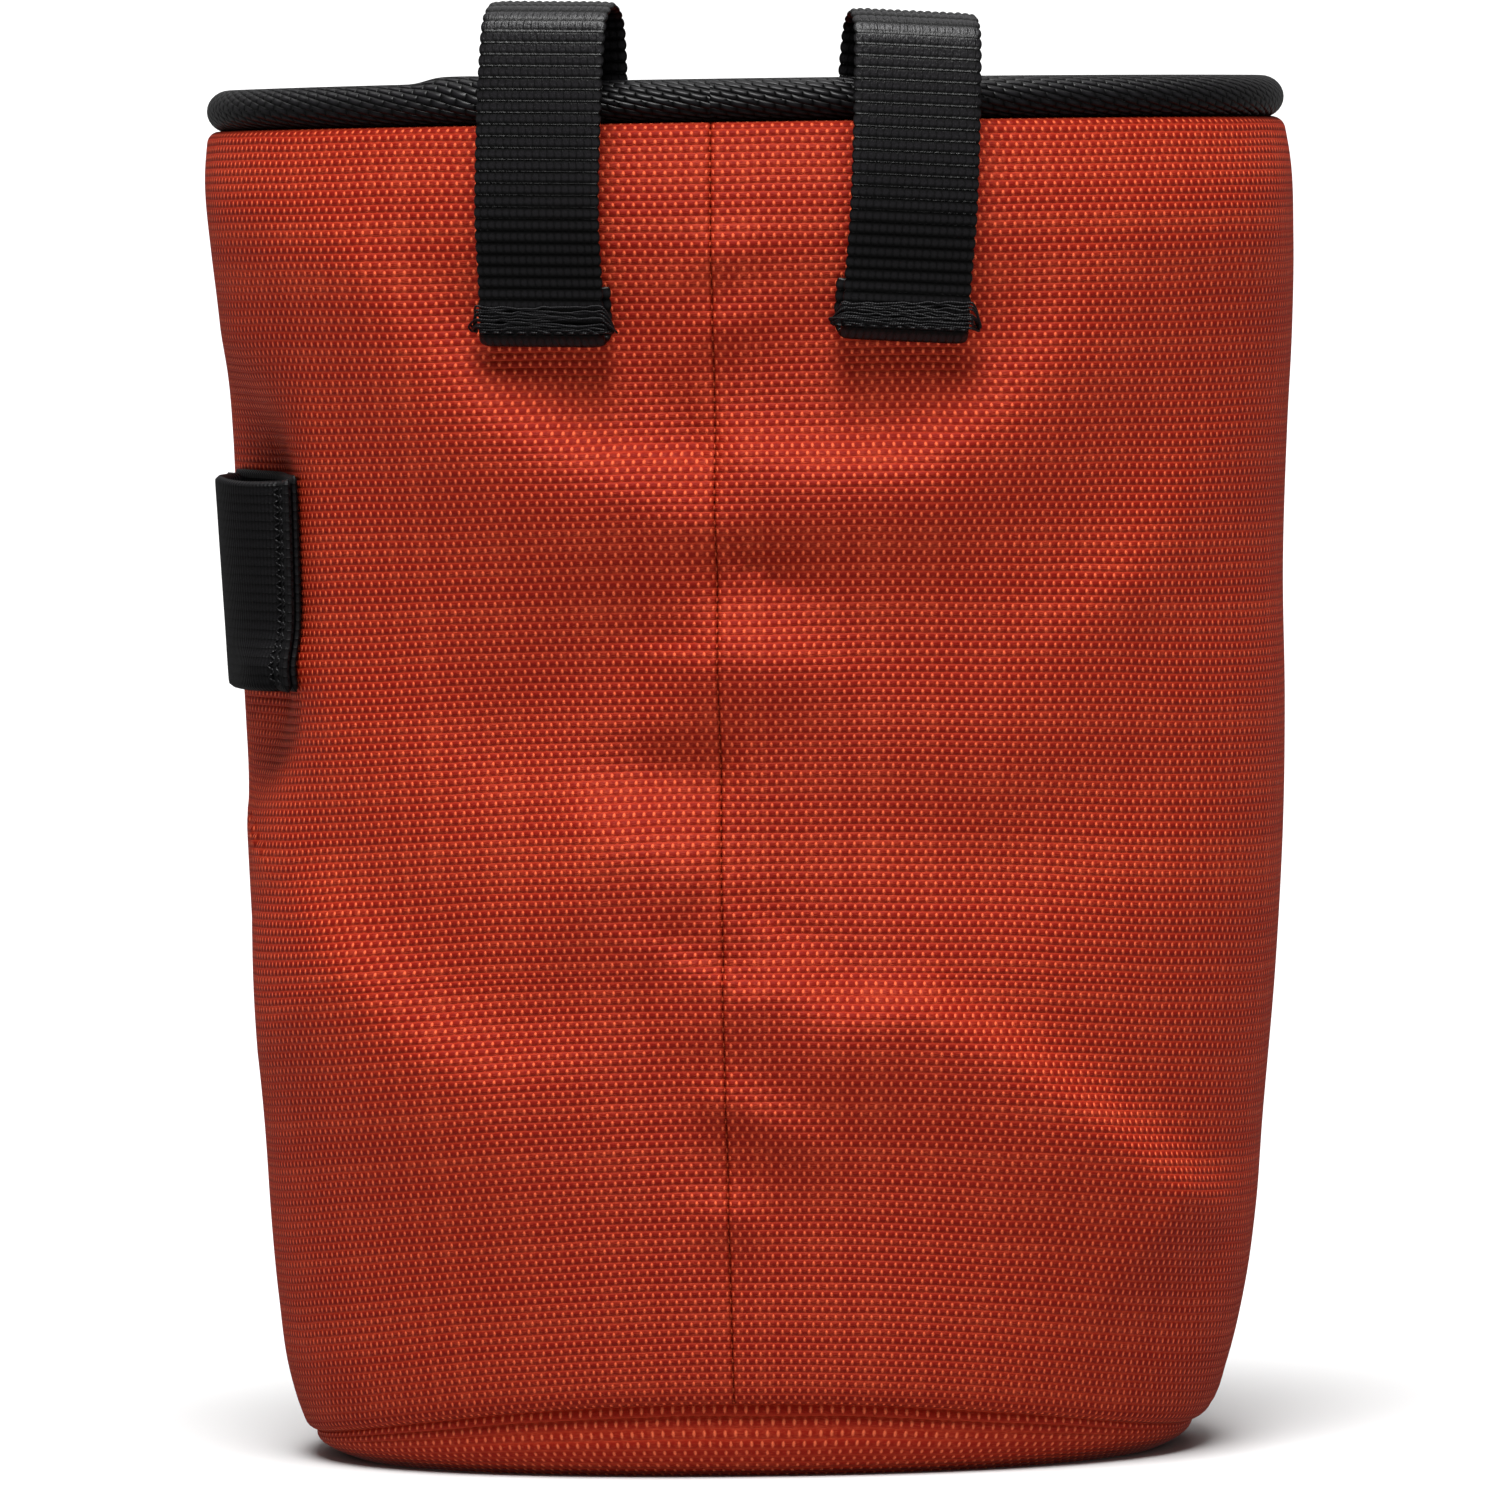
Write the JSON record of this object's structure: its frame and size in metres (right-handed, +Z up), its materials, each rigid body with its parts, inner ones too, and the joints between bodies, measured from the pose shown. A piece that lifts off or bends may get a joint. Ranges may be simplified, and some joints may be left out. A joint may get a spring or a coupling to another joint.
{
  "type": "climbing chalk bag",
  "caption": "Open cloth bag for climbing chalk, with a bound stiff rim, two webbing belt loops and an elastic brush loop.",
  "frame": {"origin": "middle of the base panel's flat underside, on the surface the bag stands on", "axes": "+Z up out of the mouth, -Y towards the face that has the belt loops, +X to the right seen from that face"},
  "size_m": [0.1282, 0.1041, 0.1717],
  "materials": {
    "body_cloth": "coarse plain weave, orange red",
    "base_cloth": "coarse plain weave, orange red",
    "binding_tape": "black twill tape",
    "webbing": "black ribbed webbing",
    "elastic": "black ribbed elastic"
  },
  "bodies": {
    "root": {"bag_body": "body_cloth", "base_panel": "base_cloth", "rim_binding": "binding_tape", "belt_loop_left": "webbing", "belt_loop_right": "webbing", "brush_loop": "elastic"}
  },
  "joints": []
}
